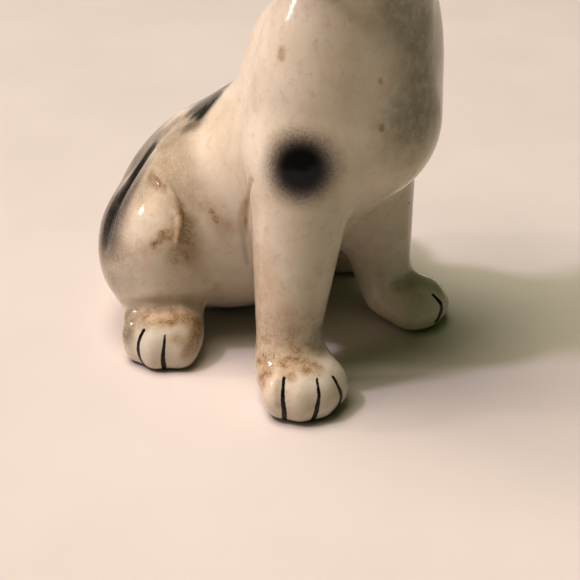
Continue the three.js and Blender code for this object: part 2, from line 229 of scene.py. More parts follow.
# tooled lines: (kind, radius, depth or height, blend, thin ends, path), right side; left ones are mirrored
KNEE = [(-29.1, 16.9, 47.1), (-29.9, 14.0, 47.2), (-30.7, 9.5, 46.3), (-31.3, 6.4, 44.1), (-31.7, 3.8, 41.1), (-32.2, 2.7, 39.0), (-33.0, 2.2, 36.8), (-34.0, 2.0, 34.0)]
VALLEY = [(-22.0, 18.1, 52.0), (-26.2, 11.0, 51.3), (-27.6, 6.6, 48.9), (-28.5, 3.6, 45.4), (-29.1, 1.3, 41.1), (-29.7, -0.1, 35.9), (-28.5, -0.7, 30.1), (-24.6, -0.4, 22.9)]
RUMP = [(-21.3, 25.6, 47.0), (-24.0, 25.2, 45.2), (-29.0, 25.4, 40.7), (-35.8, 24.4, 34.8), (-39.9, 22.7, 28.4)]
HOCK = [(-40.8, 15.2, 13.6), (-41.0, 12.0, 13.6), (-39.3, 7.3, 15.2), (-34.3, 3.6, 15.2), (-28.5, 3.2, 13.0), (-25.0, 5.2, 11.5)]
REAR_R = [(-28.3, -18.7, 54.9), (-22.5, -10.7, 44.3), (-21.6, -8.8, 38.5), (-20.4, -8.1, 33.2), (-18.2, -6.7, 25.7)]
TOOLED = [('groove', 3.0, 0.8, 3.4, VALLEY, True), ('ridge', 0.85, 0.8, 0.9, KNEE, True), ('groove', 1.6, 0.35, 2.6, RUMP, True),
          ('groove', 1.6, 1.1, 2.0, HOCK, True), ('groove', 0.9, 0.5, 1.4, REAR_R, False)]
DETAIL = []
def plain(p): return field(p, floor=False)
for kind, r, h, k, path, both in TOOLED:
    for s_ in ((1, -1) if both else (1,)):
        pts = rounded([(x * s_, y, z) for x, y, z in path], 3)
        pts = seat(pts, (h - r) if kind == 'ridge' else (r - h), plain)
        fade = np.minimum(1, np.minimum(np.arange(len(pts)), np.arange(len(pts))[::-1]) / 3.8)
        rows = []
        for i in range(len(pts) - 1):
            a_, b_ = (max(r - h * (1 - fade[j]), 0.3) for j in (i, i + 1))
            rows.append(C(0, tuple(pts[i]), tuple(pts[i + 1]), a_, b_))
        lo_, hi_ = pts.min(0) - r, pts.max(0) + r
        DETAIL.append((kind, k, rows, lo_, hi_))
plain_field = field
def field(p, groups=GROUPS, floor=True):
    if groups is not GROUPS:
        return plain_field(p, groups, floor)
    p = np.ascontiguousarray(p, f32)
    d = plain_field(p, groups, False)
    for kind, k, rows, lo_, hi_ in DETAIL:
        m = np.nonzero(np.all((p > lo_ - k) & (p < hi_ + k), 1) & (np.abs(d) < k + 2.5))[0]
        if len(m):
            g = d_rows(p[m], rows)
            d[m] = melt(d[m], g, k) if kind == 'ridge' else -melt(-d[m], g, k)
    if floor:
        d = -melt(-d, p[:, 2], FLOOR_ROUND)
    return d
def gradient(p, fn=None, e=0.12):
    fn = fn or field
    g = np.empty((len(p), 3), f32)
    for a in range(3):
        o = np.zeros(3, f32)
        o[a] = e
        g[:, a] = (fn(p + o) - fn(p - o)) / (2 * e)
    return g

# ------------------------------------------------------------------ surface of the whole figurine
def skin(h):
    """A closed quad surface over the zero level of field(), on a grid of spacing h, found in a narrow band."""
    lo = np.array([-50.0, -66.0, -3.0])
    hi = np.array([50.0, 57.0, 154.0])
    B = 4
    n = np.ceil((hi - lo) / (h * B)).astype(int)
    cx = [lo[i] + (np.arange(n[i]) + 0.5) * h * B for i in range(3)]
    P = np.stack(np.meshgrid(*cx, indexing='ij'), -1).reshape(-1, 3)
    c = field(P).reshape(n)
    F = np.repeat(np.repeat(np.repeat(c, B, 0), B, 1), B, 2)
    F = np.pad(F, ((0, 1),) * 3, mode='edge')
    near = np.argwhere(np.abs(c) < 0.87 * h * B * 1.7 + 0.3)
    need = np.zeros(F.shape, bool)
    for dx in range(B + 1):
        for dy in range(B + 1):
            for dz in range(B + 1):
                need[near[:, 0] * B + dx, near[:, 1] * B + dy, near[:, 2] * B + dz] = True
    at = np.argwhere(need)
    F[at[:, 0], at[:, 1], at[:, 2]] = field(lo + at * h)
    S = F < 0
    cnt = np.zeros(np.array(S.shape) - 1, np.int8)
    for dx in (0, 1):
        for dy in (0, 1):
            for dz in (0, 1):
                cnt += S[dx:S.shape[0] - 1 + dx, dy:S.shape[1] - 1 + dy, dz:S.shape[2] - 1 + dz]
    cell = np.argwhere((cnt > 0) & (cnt < 8))
    index = np.full(cnt.shape, -1, np.int64)
    index[cell[:, 0], cell[:, 1], cell[:, 2]] = np.arange(len(cell))
    acc = np.zeros((len(cell), 3))
    num = np.zeros(len(cell))
    corners = [(a, b, c2) for a in (0, 1) for b in (0, 1) for c2 in (0, 1)]
    for a in range(3):
        for q in corners:
            if q[a]:
                continue
            r = list(q)
            r[a] = 1
            i0, i1 = cell + q, cell + r
            v0, v1 = F[i0[:, 0], i0[:, 1], i0[:, 2]], F[i1[:, 0], i1[:, 1], i1[:, 2]]
            x = (v0 < 0) != (v1 < 0)
            t = v0[x] / (v0[x] - v1[x])
            pt = np.repeat(np.array(q, float)[None], x.sum(), 0)
            pt[:, a] = t
            acc[x] += pt
            num[x] += 1
    V = lo + (cell + acc / num[:, None]) * h
    quads = []
    for a in range(3):
        b, c2 = (a + 1) % 3, (a + 2) % 3
        s0 = [slice(None)] * 3
        s1 = [slice(None)] * 3
        s0[a], s1[a] = slice(0, -1), slice(1, None)
        e = np.argwhere(S[tuple(s0)] != S[tuple(s1)])
        e = e[(e[:, b] > 0) & (e[:, c2] > 0) & (e[:, b] < S.shape[b] - 1) & (e[:, c2] < S.shape[c2] - 1)]
        inside = S[e[:, 0], e[:, 1], e[:, 2]]
        ring = []
        for ob, oc in ((0, 0), (-1, 0), (-1, -1), (0, -1)):
            i = e.copy()
            i[:, b] += ob
            i[:, c2] += oc
            ring.append(index[i[:, 0], i[:, 1], i[:, 2]])
        q = np.stack(ring, 1)
        q[~inside] = q[~inside][:, ::-1]
        quads.append(q)
    Q = np.concatenate(quads)
    assert Q.min() >= 0
    return V, Q
def relax(V, Q, rounds=2):
    """Evens the mesh out along the surface and sets every vertex on it."""
    for r in range(rounds):
        g = gradient(V)
        n = unit(g)
        E2 = np.concatenate([Q[:, [0, 1]], Q[:, [1, 2]], Q[:, [2, 3]], Q[:, [3, 0]]])
        acc = np.zeros_like(V)
        num = np.zeros(len(V))
        for i in range(3):
            acc[:, i] = np.bincount(E2[:, 0], V[E2[:, 1], i], len(V)) + np.bincount(E2[:, 1], V[E2[:, 0], i], len(V))
        num = np.bincount(E2[:, 0], minlength=len(V)) + np.bincount(E2[:, 1], minlength=len(V))
        d = acc / num[:, None] - V
        d -= n * (d * n).sum(1, keepdims=True)
        V = V + 0.6 * d
        V = V - n * (field(V) / np.maximum(np.linalg.norm(g, axis=1), 0.3))[:, None]
    return V

V, Q = skin(STEP)
V = relax(V, Q, 2)
print("skin", len(V), len(Q), round(time.time() - T0, 1), "s")

# ------------------------------------------------------------------ cutting into the cast pieces
def clip(V, T, g):
    """Splits triangles so that none straddles g = 0. g is per vertex."""
    g = np.where(np.abs(g) < 0.02, 0.02, g)
    s = g > 0
    c = s[T].sum(1)
    keep = T[(c == 0) | (c == 3)]
    out = [keep]
    split = T[(c == 1) | (c == 2)]
    if not len(split):
        return V, T
    odd = np.where((c[(c == 1) | (c == 2)] == 1)[:, None], s[split], ~s[split]).argmax(1)
    i = np.arange(len(split))
    a, b, c3 = split[i, odd], split[i, (odd + 1) % 3], split[i, (odd + 2) % 3]
    e = np.concatenate([np.stack([a, b], 1), np.stack([a, c3], 1)])
    es = np.sort(e, 1)
    key, inv = np.unique(es[:, 0].astype(np.int64) * (len(V) + 1) + es[:, 1], return_inverse=True)
    k0, k1 = key // (len(V) + 1), key % (len(V) + 1)
    t = g[k0] / (g[k0] - g[k1])
    new = V[k0] + (V[k1] - V[k0]) * t[:, None]
    m = len(V) + inv
    ab, ac = m[:len(split)], m[len(split):]
    out += [np.stack([a, ab, ac], 1), np.stack([ab, b, c3], 1), np.stack([ab, c3, ac], 1)]
    return np.concatenate([V, new]), np.concatenate(out)

G = {n: (n, k, rows) for n, k, rows in GROUPS}
def only(*names):
    sub = [G[n] for n in names]
    return lambda p: field(p, sub, floor=False)
BODYISH = ('body', 'haunch_right', 'shin_right', 'haunch_left', 'shin_left')
SEAMS = {'right': ((-19, -24, 46), -0.5, 0.45, -1), 'left': ((17, -14, 43), -0.5, 0.45, 1)}
def seam_plane(p, side):
    at, sy, so, s = SEAMS[side]
    return p[:, 2] - at[2] - sy * (p[:, 1] - at[1]) - so * s * (p[:, 0] - at[0])
def far_where(p, ok, val, other=9.0):
    out = np.full(len(p), other, f32)
    out[ok] = val(np.ascontiguousarray(p[ok], f32))
    return out
def g_neck(p): return 108 - p[:, 2]
def g_ear(side):
    s = 1 if side == 'left' else -1
    return lambda p: far_where(p, (p[:, 0] * s > 8) & (p[:, 2] > 111), lambda q: only('ear_' + side)(q) - only('body', 'head')(q))
def g_tail(p):
    return far_where(p, (p[:, 1] > 25) & (p[:, 2] < 24), lambda q: only('tail')(q) - only(*BODYISH)(q))
def g_hind(side):
    s = 1 if side == 'left' else -1
    return lambda p: far_where(p, (p[:, 0] * s > 14) & (p[:, 2] < 20) & (p[:, 1] < 30),
                               lambda q: only('hind_paw_' + side)(q) - only(*BODYISH)(q))
def g_leg(side):
    s = 1 if side == 'left' else -1
    return lambda p: far_where(p, (p[:, 0] * s > 1) & (p[:, 2] < 64) & (p[:, 1] < 8),
                               lambda q: np.maximum(seam_plane(q, side) * 0.8,
                                                    only('leg_' + side, 'fore_paw_' + side)(q) - only('body')(q)))
CUTS = [('head', g_neck), ('ear_left', g_ear('left')), ('ear_right', g_ear('right')), ('tail', g_tail),
        ('hind_paw_left', g_hind('left')), ('hind_paw_right', g_hind('right')),
        ('foreleg_left', g_leg('left')), ('foreleg_right', g_leg('right'))]
T = np.concatenate([Q[:, [0, 1, 2]], Q[:, [0, 2, 3]]])
for name, g in CUTS:
    V, T = clip(V, T, g(V))
mid = V[T].mean(1)
label = np.full(len(T), 'torso', dtype='U20')
for name, g in CUTS:
    label[g(mid) < 0] = name
def largest_only(T, label, name):
    """Faces of a piece outside its largest connected patch go back to the torso or the head."""
    idx = np.nonzero(label == name)[0]
    t = T[idx]
    root = np.arange(len(V))
    for _ in range(400):
        m = root[t].min(1)
        new = root.copy()
        for i in range(3):
            np.minimum.at(new, t[:, i], m)
        new = new[new]
        if np.array_equal(new, root):
            break
        root = new
    r = root[t[:, 0]]
    vals, cnt = np.unique(r, return_counts=True)
    big = vals[cnt.argmax()]
    lost = idx[r != big]
    label[lost] = 'head' if name.startswith('ear') else 'torso'
for name, _ in CUTS:
    if name != 'head':
        largest_only(T, label, name)
N = unit(gradient(V))
print("pieces", {n: int((label == n).sum()) for n in np.unique(label)}, round(time.time() - T0, 1), "s")

# ------------------------------------------------------------------ painted decoration, as fields on the surface
def smooth(x, a, b):
    t = np.clip((x - a) / (b - a), 0, 1)
    return t * t * (3 - 2 * t)
def to_path(p, path):
    """Distance to a polyline, and how far along it (0 to 1) the nearest point is."""
    path = np.array(path, float)
    best = np.full(len(p), 1e9)
    along = np.zeros(len(p))
    seg = np.linalg.norm(np.diff(path, axis=0), axis=1)
    total, run = seg.sum(), 0.0
    for i in range(len(path) - 1):
        a, d = path[i], path[i + 1] - path[i]
        t = np.clip(((p - a) @ d) / max(d @ d, 1e-9), 0, 1)
        q = np.linalg.norm(p - a - t[:, None] * d, axis=1)
        m = q < best
        best[m] = q[m]
        along[m] = ((run + t * seg[i]) / total)[m]
        run += seg[i]
    return best, along
def march(c, d):
    """The point where a ray from inside the figurine comes out."""
    c, d = np.array(c, float), np.array(d, float) / np.linalg.norm(d)
    lo, hi = 0.0, 0.5
    while field((c + d * hi)[None])[0] < 0 and hi < 80:
        hi += 0.5
    lo = hi - 0.5
    for _ in range(14):
        m = (lo + hi) / 2
        if field((c + d * m)[None])[0] < 0: lo = m
        else: hi = m
    return c + d * hi

Vs = V                                       # sculpting frame, mm
def on(path):
    """The same points, each moved on to the surface."""
    p = np.array(path, float)
    for _ in range(6):
        g = gradient(p)
        p = p - unit(g) * (field(p) / np.maximum(np.linalg.norm(g, axis=1), 0.5))[:, None]
    return p
def near(path, r):
    path = np.array(path, float)
    lo, hi = path.min(0) - r, path.max(0) + r
    return np.nonzero(np.all((Vs > lo) & (Vs < hi), 1))[0]

ink = np.full(len(V), 9.0)                   # distance to the nearest brush stroke's edge, mm
def stroke(path, w0, w1, wm=None):
    """A brushed line from half-width w0 at its start to w1 at its end."""
    path = on(rounded(path, 5)) if len(path) > 2 else on(path)
    m = near(path, 4)
    d, t = to_path(Vs[m], path)
    ink[m] = np.minimum(ink[m], d - (w0 + (w1 - w0) * smooth(t, 0.0, 0.8)))
def dot(p, r):
    stroke([p, np.array(p) + 1e-3], r, r)

for path, w0, w1 in (([(-33.9, -34.5, 11.9), (-35.2, -35.5, 10.1), (-36.1, -36.3, 7.6), (-36.0, -36.6, 4.5), (-35.2, -35.8, 1.2), (-34.8, -35.2, 0.4)], 0.36, 0.62),
                     ([(-28.6, -40.0, 11.7), (-29.4, -41.2, 10.1), (-29.8, -41.9, 8.4), (-30.5, -42.0, 5.6), (-30.3, -40.5, 1.4), (-30.1, -39.9, 0.4)], 0.28, 0.64),
                     ([(-24.4, -41.2, 10.8), (-24.0, -42.3, 8.6), (-23.2, -42.6, 5.8), (-23.2, -41.8, 3.0), (-23.4, -40.8, 0.8)], 0.42, 0.72),
                     ([(-43.0, 5.5, 11.4), (-44.1, 5.9, 9.4), (-44.7, 6.2, 6.6), (-44.3, 6.2, 3.4), (-43.2, 5.9, 0.6)], 0.40, 0.52),
                     ([(-40.2, 0.9, 10.7), (-41.2, 0.3, 7.9), (-41.6, 0.4, 4.9), (-40.8, 1.2, 0.8)], 0.26, 0.60),
                     ([(23.3, -32.1, 9.6), (23.7, -33.3, 8.5), (24.1, -34.3, 6.9), (22.9, -35.1, 5.0), (22.0, -35.0, 3.4)], 0.50, 0.86),
                     ([(33.4, -24.6, 9.0), (34.6, -26.6, 6.2), (34.6, -26.8, 3.0)], 0.30, 0.60),
                     ([(38.6, 4.2, 10.6), (40.8, 3.4, 7.8), (41.2, 3.0, 5.1), (40.6, 3.6, 0.6)], 0.30, 0.52),
                     ([(34.6, 1.0, 10.6), (35.4, -1.4, 7.8), (35.8, -1.8, 5.1), (35.2, -1.2, 0.6)], 0.30, 0.46)):
    stroke(path, w0, w1)
for p, r in (((19.7, -25.4, 35.3), 0.42), ((-22.7, -12.5, 71.6), 0.24)):
    dot(p, r)

airbrush_and_shade = np.zeros(len(V))                       # airbrushed dark colour, and painted shade over the haunch top, 0 to 1
def spray(path, r0, r1, strength=1.0, target=None):
    global airbrush_and_shade
    path = on(path)
    m = near(path, r1)
    d, t = to_path(Vs[m], path)
    if isinstance(strength, tuple):
        cut = np.concatenate([[0], np.cumsum(np.linalg.norm(np.diff(path, axis=0), axis=1))])
        strength = np.interp(t, cut / cut[-1], strength)
    field_of = airbrush_and_shade if target is None else target
    field_of[m] = np.maximum(field_of[m], strength * (1 - smooth(d, r0, r1)))
def spot(p, r0, r1, strength=1.0, target=None):
    spray([p, np.array(p) + 1e-3], r0, r1, strength, target)
spot((-25.2, -31.1, 61.2), 3.6, 11.6)
# patch over the back, between the shoulders and the rump
spray([(-9.4, 14.4, 61.3), (-10.2, 17.3, 58.9), (-10.3, 20.2, 57.0)], 1.2, 8.0, 0.95)
spray([(-13.2, 14.2, 59.2), (-13.4, 16.8, 57.8)], 0.8, 5.8, 0.94)
spray([(-2.0, 20.0, 59.5), (-7.0, 21.0, 57.8)], 1.5, 8.0, 0.84)
spray([(-5.5, 12.0, 63.2), (-5.0, 16.0, 61.0), (-6.0, 19.5, 59.0), (-4.0, 23.5, 57.2), (-3.0, 26.5, 55.6)], 1.6, 7.6, (0.92, 0.92, 0.94, 0.90, 0.55))
spray([(-17.4, 12.6, 56.8), (-18.1, 14.6, 55.6)], 0.6, 5.4, 0.66)
spray([(-11.0, 12.0, 62.0), (-13.0, 12.4, 60.4), (-15.2, 13.2, 58.2)], 0.8, 4.8, 0.95)
# long patch behind the haunch and over the rump
spray([(-17.7, 25.4, 49.5), (-19.1, 27.4, 47.2), (-21.5, 27.9, 44.9), (-24.5, 27.2, 43.1), (-27.9, 26.0, 41.2)], 0.8, 6.4,
      (0.55, 0.82, 0.92, 0.96, 0.96))
spray([(-19.5, 26.0, 47.9), (-21.3, 25.6, 47.0), (-24.0, 25.2, 45.2), (-26.3, 25.4, 43.1), (-29.0, 25.4, 40.7), (-32.8, 25.1, 37.7)], 1.0, 8.0,
      (0.45, 0.78, 0.84, 0.90, 0.96, 0.96))
spray([(-29.0, 25.4, 40.7), (-32.8, 25.1, 37.7), (-35.8, 24.4, 34.8), (-38.0, 23.9, 31.5), (-39.9, 22.7, 28.4), (-41.1, 21.0, 25.8), (-41.9, 19.1, 23.2)],
      1.2, 13.0, (0.60, 0.88, 0.96, 0.92, 0.84, 0.66, 0.36))
spray([(-18.3, 30.1, 45.8), (-21.0, 33.3, 40.9), (-24.0, 36.0, 35.2), (-31.4, 32.3, 32.3), (-35.9, 29.8, 29.2), (-39.2, 26.3, 25.9)], 2.5, 10.0,
      (0.60, 0.86, 0.88, 0.86, 0.76, 0.40))
spray([(-12, 37, 43), (-20, 40, 34), (-27, 39, 25)], 4.0, 14.0, 0.74)
# painted shade over the top of the haunch, laid on as a thin haze
spray([(-15.5, 24.5, 51.8), (-23.1, 15.3, 52.7), (-27.0, 12.4, 50.5), (-28.3, 8.0, 48.7), (-29.1, 4.4, 45.3)], 2.0, 9.5, (0.34, 0.30, 0.28, 0.26, 0.18))
spray([(-31.4, 14.3, 45.5), (-33.3, 16.0, 42.9)], 1.0, 7.0, 0.34)
# softer inner edge of the long patch
spray([(-28.0, 22.0, 45.5), (-31.2, 21.8, 42.6), (-34.4, 21.4, 39.2), (-37.2, 20.8, 35.2), (-39.8, 19.4, 30.6)], 1.2, 8.4, (0.60, 0.72, 0.76, 0.72, 0.48))

stain_and_shade = np.zeros(len(V))                     # brown ageing stains, and painted brown shade on and under the haunch, 0 to 1
def brown_stain_and_shade(path, r0, r1, strength=1.0):
    spray(path, r0, r1, strength, stain_and_shade)
# right foreleg, from above the wrist to the toes
brown_stain_and_shade([(-31.0, -24.2, 21.0), (-30.0, -29.2, 21.5), (-26.2, -32.7, 20.8)], 1.5, 10.5, 0.50)
brown_stain_and_shade([(-31.5, -24.3, 15.5), (-30.3, -30.2, 16.6), (-26.9, -33.4, 16.4)], 2.0, 7.0, 0.62)
brown_stain_and_shade([(-32.9, -25.8, 12.3), (-34.1, -29.0, 11.6), (-35.1, -28.3, 8.9)], 1.0, 4.6, 0.82)
brown_stain_and_shade([(-31.3, -32.5, 14.1), (-29.6, -35.4, 13.6), (-27.3, -37.8, 13.1)], 0.8, 4.0, 0.85)
brown_stain_and_shade([(-33.1, -33.6, 12.7), (-32.6, -35.8, 12.3)], 0.5, 2.4, 0.80)
brown_stain_and_shade([(-29.9, -23.3, 36.7), (-30.5, -23.8, 27.0)], 1.0, 7.0, 0.38)
# painted shade over the top of the haunch, as a brown wash
brown_stain_and_shade([(-16.0, 22.0, 53.0), (-24.0, 14.0, 52.5), (-27.6, 9.5, 49.6), (-29.0, 4.5, 45.5)], 2.0, 9.0, 0.30)
# right hind paw
brown_stain_and_shade([(-41.5, 9.4, 14.3), (-40.2, 6.3, 14.5), (-38.0, 3.2, 14.3), (-35.1, 0.9, 14.0), (-31.7, -0.4, 12.6)], 1.2, 4.6, (0.5, 0.66, 0.84, 0.9, 0.9))
brown_stain_and_shade([(-37.8, 1.6, 13.2), (-34.3, 0.0, 13.5), (-31.0, 0.0, 12.7)], 0.6, 2.6, 1.0)
brown_stain_and_shade([(-31.4, -1.4, 10.5), (-33.3, -2.8, 8.5), (-35.9, -3.4, 6.5)], 1.0, 4.4, (0.98, 0.9, 0.6))
brown_stain_and_shade([(-38.0, -1.5, 10.0), (-36.4, -3.2, 8.0)], 0.5, 3.6, 0.55)
# painted shade under the haunch, just above the hind paw
brown_stain_and_shade([(-39.1, 7.4, 17.6), (-35.6, 4.0, 16.7), (-29.7, 2.5, 15.5)], 0.4, 3.6, 0.40)
# haunch
brown_stain_and_shade([(-30.9, 14.2, 46.1), (-31.0, 11.7, 46.2), (-31.1, 9.0, 45.6)], 0.6, 3.0, 0.66)
brown_stain_and_shade([(-31.2, 4.4, 42.5), (-31.4, 2.9, 40.7), (-31.8, 2.0, 38.8)], 0.5, 2.8, 0.95)
brown_stain_and_shade([(-36.1, 4.6, 35.4), (-34.9, 3.4, 35.9), (-33.6, 2.7, 36.8)], 0.5, 2.4, 0.92)
brown_stain_and_shade([(-37.8, 6.6, 32.6), (-36.8, 5.1, 33.9)], 0.3, 1.9, 0.92)
brown_stain_and_shade([(-35.9, 4.1, 34.4), (-38.2, 7.3, 31.3)], 0.5, 3.6, 0.45)
# painted shade in the hollow between the knee and the flank
brown_stain_and_shade([(-32.1, 1.8, 37.2), (-32.1, 0.9, 33.6), (-32.5, 1.4, 29.8)], 1.4, 6.4, 0.72)
brown_stain_and_shade([(-40.8, 17.1, 28.6), (-40.6, 13.4, 28.3), (-39.5, 9.8, 28.7)], 1.0, 6.0, 0.42)
brown_stain_and_shade([(-26.0, -2.0, 40.4), (-25.5, -2.8, 38.6)], 0.3, 1.7, 0.95)
brown_stain_and_shade([(-27.0, -0.4, 42.0), (-24.5, -3.8, 37.0)], 0.5, 5.0, 0.40)
# a thin darker brown line along the crease behind the right foreleg
brown_stain_and_shade([(-27.7, -17.4, 53.3), (-22.5, -10.3, 44.2), (-21.6, -8.9, 38.8), (-20.8, -8.2, 34.5)], 0.1, 1.0, (0.4, 0.9, 0.9, 0.3))
brown_stain_and_shade([(-23.0, -23.1, 85.8), (-23.4, -23.2, 84.4)], 0.2, 1.7, 0.60)
brown_stain_and_shade([(-9.9, -40.9, 69.4), (-9.9, -40.9, 69.0)], 0.1, 1.1, 1.0)
brown_stain_and_shade([(-9.4, -39.7, 79.8), (-9.4, -39.7, 79.4)], 0.1, 0.9, 0.90)
grey_wash_and_shade = np.zeros(len(V))                    # thin grey wash, and painted shade on the chest front and on the right foreleg
spray([(-42.5, 12.7, 12.2), (-44.0, 10.6, 10.8), (-44.9, 10.5, 8.9)], 0.8, 4.4, 0.72, grey_wash_and_shade)
spray([(-41.8, 8.4, 13.7), (-42.8, 6.5, 12.0)], 0.5, 3.4, 0.34, grey_wash_and_shade)
spray([(-35.1, -34.1, 11.1), (-36.4, -35.0, 8.5), (-36.7, -35.6, 6.1)], 0.3, 1.7, 0.34, grey_wash_and_shade)
# painted shade on the side of the right foreleg turned away from the light
spray([(-21.4, -31.5, 17.5), (-22.6, -33.9, 14.8)], 1.0, 4.0, 0.45, grey_wash_and_shade)
spray([(18.2, -25.0, 11.8), (23.9, -27.1, 11.3), (26.2, -30.7, 9.9)], 0.6, 3.6, 0.34, grey_wash_and_shade)
# painted shadow of the head on the front of the neck and chest
spray([(-3.7, -40.7, 97.0), (1.0, -41.3, 88.9), (3.3, -41.6, 81.6), (2.1, -42.4, 75.1), (-2.0, -43.3, 69.6)], 2.0, 14.0, 0.56, grey_wash_and_shade)
dull = np.zeros(len(V))                      # worn, less glossy glaze
spray([(-23.5, 2.5, 51.5), (-22.1, 1.7, 54.4), (-21.5, 0.9, 55.8)], 2.5, 6.0, 1.0, dull)
spray([(-25.7, 7.5, 51.2), (-27.0, 8.0, 50.1), (-27.9, 8.8, 49.3)], 2.5, 6.0, 1.0, dull)

# ears, tail, eyes, nose and mouth
for side, s_ in (('left', 1), ('right', -1)):
    m = np.nonzero((V[:, 0] * s_ > 8) & (V[:, 2] > 111))[0]
    g = only('ear_' + side)(V[m]) - only('body', 'head')(V[m])
    airbrush_and_shade[m] = np.maximum(airbrush_and_shade[m], 1 - smooth(g, -0.2, 2.4))
m = np.nonzero((V[:, 1] > 25) & (V[:, 2] < 24))[0]
g = only('tail')(V[m]) - only(*BODYISH)(V[m])
airbrush_and_shade[m] = np.maximum(airbrush_and_shade[m], (1 - smooth(g, -0.3, 3.0)) * smooth(V[m, 0], 4, 16))
for s_ in (1, -1):
    c = np.array([s_ * 9.2, -42.4, 133.2])
    d = np.linalg.norm(Vs - c, axis=1)
    gaze = unit((Vs - c)[None])[0] @ unit(np.array([[s_ * 0.25, -1.0, 0.1]]))[0]
    m = d < 5.2
    ink[m] = np.minimum(ink[m], (0.62 - gaze[m]) * 3.6)
d = np.linalg.norm((Vs - np.array([0, -60.0, 125.4])) / np.array([5.0, 3.6, 3.5]), axis=1)
ink = np.minimum(ink, (d - 1.0) * 3.5)
stroke([(0, -60.5, 121.5), (0, -59.2, 118.2)], 0.25, 0.35)
for s_ in (1, -1):
    stroke([(0, -59.2, 118.2), (s_ * 3.0, -58.0, 115.8), (s_ * 7.2, -53.5, 115.0), (s_ * 10.2, -48.0, 116.6)], 0.38, 0.2)

# a darker band in the lowest 1.25 mm, just above the surface that the feet stand on
foot = 1 - smooth(V[:, 2], 0.5, 1.25)
print("paint", round(time.time() - T0, 1), "s")

# ------------------------------------------------------------------ pieces
def loops_of(edges):
    nxt = {}
    for a, b in edges:
        nxt.setdefault(int(a), []).append(int(b))
    out = []
    while nxt:
        s = next(iter(nxt))
        ring, c = [s], s
        while True:
            if c not in nxt:
                ring = None
                break
            b = nxt[c].pop()
            if not nxt[c]:
                del nxt[c]
            if b == s:
                break
            ring.append(b)
            c = b
        if ring and len(ring) > 2:
            out.append(ring)
    return out
def piece(name, faces, material, attrs):
    used, inv = np.unique(faces, return_inverse=True)
    t = inv.reshape(-1, 3)
    v, n = V[used], N[used]
    # close each opening left by a seam with a shallow fan set just inside the piece
    e = np.concatenate([t[:, [0, 1]], t[:, [1, 2]], t[:, [2, 0]]]).astype(np.int64)
    key = e[:, 0] * len(v) + e[:, 1]
    rev = e[:, 1] * len(v) + e[:, 0]
    border = e[~np.isin(rev, key)]
    cap, extra = [], []
    inner = v.mean(0)
    for ring in loops_of(border[:, ::-1]):
        c = v[ring].mean(0)
        c = c + unit((inner - c)[None])[0] * 0.4
        ci = len(v) + len(extra)
        extra.append(c)
        for i in range(len(ring)):
            cap.append((ring[i], ring[(i + 1) % len(ring)], ci))
    if extra:
        v = np.concatenate([v, np.array(extra)])
    t_all = np.concatenate([t, np.array(cap, int).reshape(-1, 3)]) if cap else t
    me = bpy.data.meshes.new(name)
    me.vertices.add(len(v))
    me.vertices.foreach_set('co', ((v + SHIFT) / 1000).astype(f32).ravel())
    me.loops.add(t_all.size)
    me.loops.foreach_set('vertex_index', t_all.astype(np.int32).ravel())
    me.polygons.add(len(t_all))
    me.polygons.foreach_set('loop_start', np.arange(0, t_all.size, 3, dtype=np.int32))
    me.update(calc_edges=True)
    me.validate()
    ln = np.zeros((t_all.size, 3), f32)
    ln[:t.size] = n[t.ravel()]
    if cap:
        a, b, c = v[t_all[len(t):, 0]], v[t_all[len(t):, 1]], v[t_all[len(t):, 2]]
        fn = unit(np.cross(b - a, c - a))
        ln[t.size:] = np.repeat(fn, 3, 0)
    me.polygons.foreach_set('use_smooth', np.ones(len(t_all), bool))
    me.normals_split_custom_set(ln.tolist())
    for key, val in attrs.items():
        at = me.attributes.new(key, 'FLOAT', 'POINT')
        data = np.zeros(len(v), f32)
        data[:len(used)] = val[used]
        at.data.foreach_set('value', data)
    ob = bpy.data.objects.new(name, me)
    bpy.context.scene.collection.objects.link(ob)
    me.materials.append(material)
    return ob

